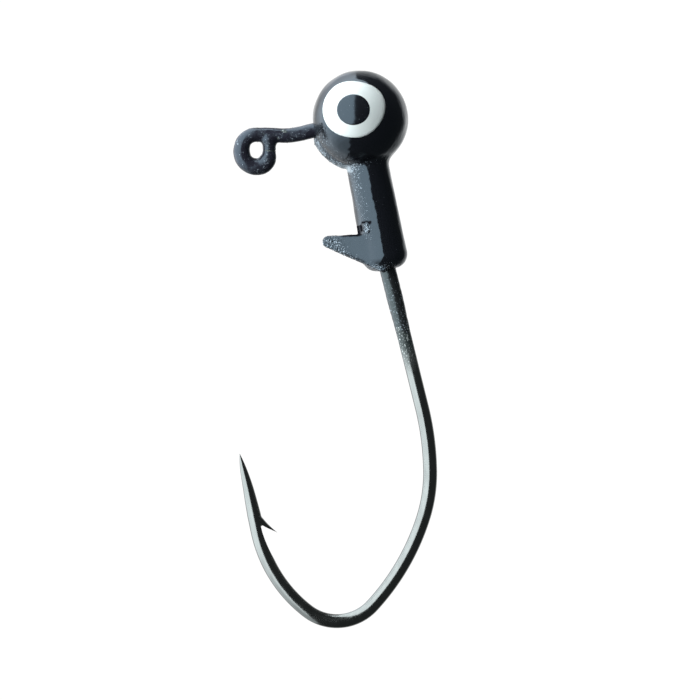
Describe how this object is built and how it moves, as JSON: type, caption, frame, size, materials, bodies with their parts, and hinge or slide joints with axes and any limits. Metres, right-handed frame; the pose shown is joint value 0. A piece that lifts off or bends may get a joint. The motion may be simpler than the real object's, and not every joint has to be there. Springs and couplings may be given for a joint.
{
  "type": "jig head",
  "caption": "Round-head fishing jig: painted lead ball with collar and bait keeper, cast on a bent barbed hook with a line eye.",
  "frame": {"origin": "middle of the hole in the line eye, in the hook's own plane", "axes": "+Z along the collar's axis, from the hook's bend towards the ball; -X towards the line eye, bait keeper and hook point; Y square to the hook's plane"},
  "size_m": [0.019, 0.008, 0.0443],
  "materials": {
    "hook_wire": "black nickel plate, smooth and semi-bright",
    "lead": "as cast",
    "black_paint": "glossy baked powder paint with slight orange peel",
    "white_enamel": "glossy enamel dot",
    "black_enamel": "glossy enamel dot"
  },
  "bodies": {
    "root": {"hook": "hook_wire", "head_casting": "lead", "head_coat": "black_paint", "eye_loop_coat": "black_paint", "shank_coat": "black_paint", "left_eye_white": "white_enamel", "right_eye_white": "white_enamel", "left_eye_pupil": "black_enamel", "right_eye_pupil": "black_enamel"}
  },
  "joints": []
}
